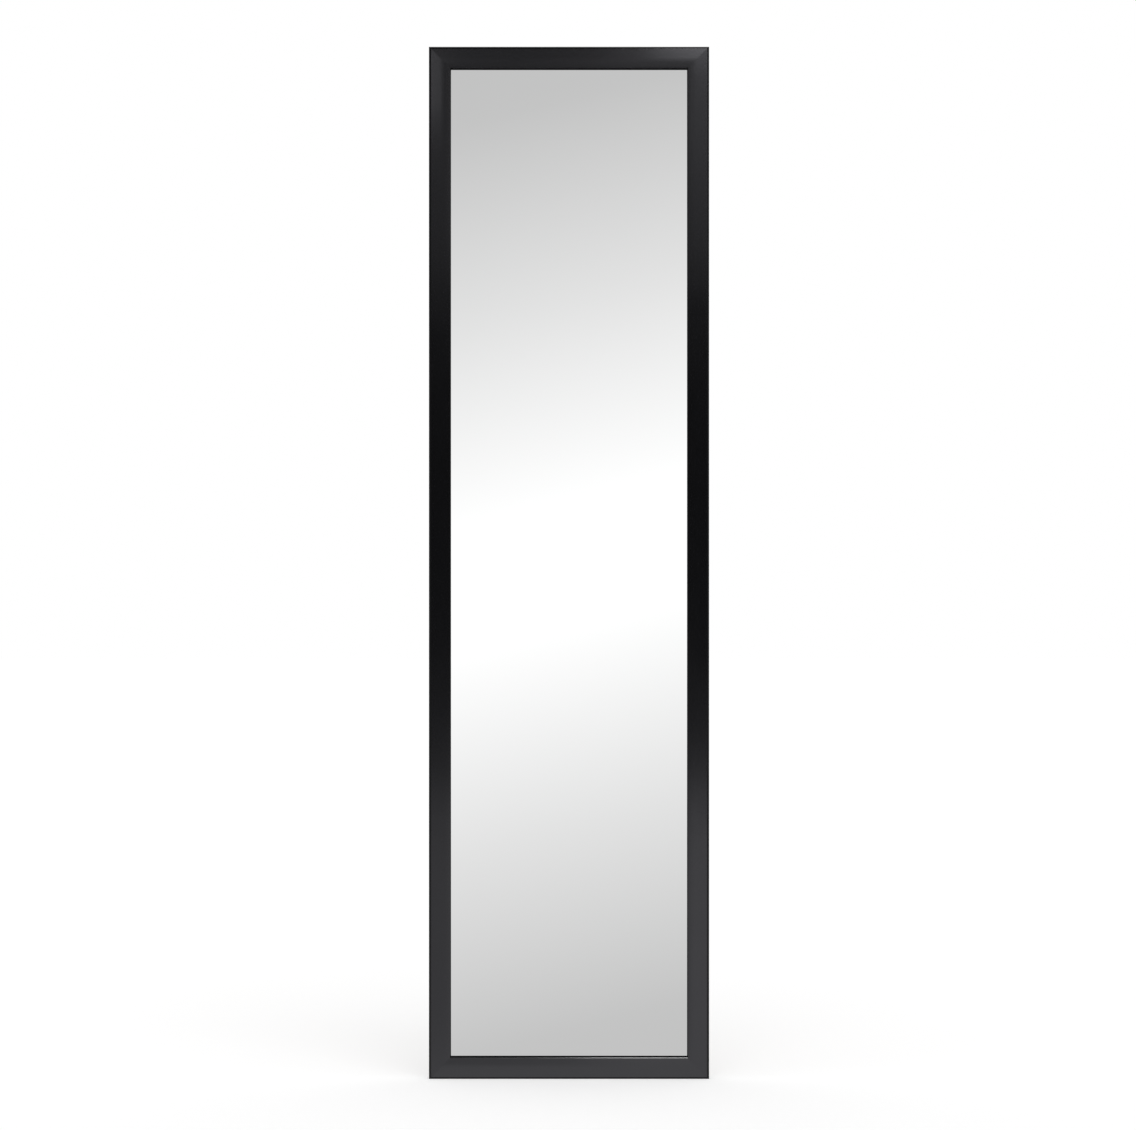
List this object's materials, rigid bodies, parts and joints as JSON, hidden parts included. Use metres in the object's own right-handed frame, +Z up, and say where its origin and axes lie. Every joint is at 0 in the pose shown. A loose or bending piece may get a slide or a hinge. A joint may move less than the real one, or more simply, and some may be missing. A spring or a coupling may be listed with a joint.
{
  "type": "over-the-door mirror",
  "caption": "Tall rectangular mirror in a mitred black frame, hung on a door by slotted hooks that slide up from behind it, with turn buttons that hold its backing board.",
  "frame": {"origin": "on the top front edge of the door, midway between the hooks, with the hooks slid fully down", "axes": "+Z up, +Y from the mirror into the door, +X to the right of someone who faces the mirror"},
  "size_m": [0.342, 0.0671, 1.26],
  "materials": {
    "black_moulding": "satin black",
    "silvered_glass": "polished",
    "hardboard": "pressed wood fibre, smooth face",
    "zinc_plate": "bright zinc plate",
    "black_powder_coat": "fine-textured black powder coat on strap steel",
    "pad_foam": "closed-cell foam",
    "bumper_rubber": "matt moulded rubber"
  },
  "bodies": {
    "mirror_frame": {"top_rail": "black_moulding", "bottom_rail": "black_moulding", "left_stile": "black_moulding", "right_stile": "black_moulding", "mirror_pane": "silvered_glass", "backing_board": "hardboard", "top_left_corner_wedge_1": "zinc_plate", "top_left_corner_wedge_2": "zinc_plate", "top_right_corner_wedge_1": "zinc_plate", "top_right_corner_wedge_2": "zinc_plate", "bottom_left_corner_wedge_1": "zinc_plate", "bottom_left_corner_wedge_2": "zinc_plate", "bottom_right_corner_wedge_1": "zinc_plate", "bottom_right_corner_wedge_2": "zinc_plate", "turn_button_screw_top": "zinc_plate", "turn_button_screw_bottom": "zinc_plate", "turn_button_screw_left_1": "zinc_plate", "turn_button_screw_left_2": "zinc_plate", "turn_button_screw_left_3": "zinc_plate", "turn_button_screw_left_4": "zinc_plate", "turn_button_screw_right_1": "zinc_plate", "turn_button_screw_right_2": "zinc_plate", "turn_button_screw_right_3": "zinc_plate", "turn_button_screw_right_4": "zinc_plate", "left_hook_screw_upper": "zinc_plate", "left_hook_screw_lower": "zinc_plate", "right_hook_screw_upper": "zinc_plate", "right_hook_screw_lower": "zinc_plate", "left_bumper": "bumper_rubber", "right_bumper": "bumper_rubber"},
    "left_hook": {"left_door_hook": "black_powder_coat", "left_hook_pad": "pad_foam"},
    "right_hook": {"right_door_hook": "black_powder_coat", "right_hook_pad": "pad_foam"},
    "button_top": {"turn_button_top": "zinc_plate"},
    "button_bottom": {"turn_button_bottom": "zinc_plate"},
    "button_left_1": {"turn_button_left_1": "zinc_plate"},
    "button_left_2": {"turn_button_left_2": "zinc_plate"},
    "button_left_3": {"turn_button_left_3": "zinc_plate"},
    "button_left_4": {"turn_button_left_4": "zinc_plate"},
    "button_right_1": {"turn_button_right_1": "zinc_plate"},
    "button_right_2": {"turn_button_right_2": "zinc_plate"},
    "button_right_3": {"turn_button_right_3": "zinc_plate"},
    "button_right_4": {"turn_button_right_4": "zinc_plate"}
  },
  "joints": [
    {"name": "left_hook_slide", "type": "slide", "parent": "mirror_frame", "child": "left_hook", "axis": [0, 0, 1], "range_m": [0, 0.08]},
    {"name": "right_hook_slide", "type": "slide", "parent": "mirror_frame", "child": "right_hook", "axis": [0, 0, 1], "range_m": [0, 0.08]},
    {"name": "button_top_turn", "type": "hinge", "parent": "mirror_frame", "child": "button_top", "pos_m": [0, -0.0036, -0.002], "axis": [0, 1, 0], "range_deg": [-90, 90]},
    {"name": "button_bottom_turn", "type": "hinge", "parent": "mirror_frame", "child": "button_bottom", "pos_m": [0, -0.0036, -1.244], "axis": [0, 1, 0], "range_deg": [-90, 90]},
    {"name": "button_left_1_turn", "type": "hinge", "parent": "mirror_frame", "child": "button_left_1", "pos_m": [-0.162, -0.0036, -0.22305], "axis": [0, 1, 0], "range_deg": [-90, 90]},
    {"name": "button_left_2_turn", "type": "hinge", "parent": "mirror_frame", "child": "button_left_2", "pos_m": [-0.162, -0.0036, -0.4997], "axis": [0, 1, 0], "range_deg": [-90, 90]},
    {"name": "button_left_3_turn", "type": "hinge", "parent": "mirror_frame", "child": "button_left_3", "pos_m": [-0.162, -0.0036, -0.77635], "axis": [0, 1, 0], "range_deg": [-90, 90]},
    {"name": "button_left_4_turn", "type": "hinge", "parent": "mirror_frame", "child": "button_left_4", "pos_m": [-0.162, -0.0036, -1.053], "axis": [0, 1, 0], "range_deg": [-90, 90]},
    {"name": "button_right_1_turn", "type": "hinge", "parent": "mirror_frame", "child": "button_right_1", "pos_m": [0.162, -0.0036, -0.22305], "axis": [0, 1, 0], "range_deg": [-90, 90]},
    {"name": "button_right_2_turn", "type": "hinge", "parent": "mirror_frame", "child": "button_right_2", "pos_m": [0.162, -0.0036, -0.4997], "axis": [0, 1, 0], "range_deg": [-90, 90]},
    {"name": "button_right_3_turn", "type": "hinge", "parent": "mirror_frame", "child": "button_right_3", "pos_m": [0.162, -0.0036, -0.77635], "axis": [0, 1, 0], "range_deg": [-90, 90]},
    {"name": "button_right_4_turn", "type": "hinge", "parent": "mirror_frame", "child": "button_right_4", "pos_m": [0.162, -0.0036, -1.053], "axis": [0, 1, 0], "range_deg": [-90, 90]}
  ]
}
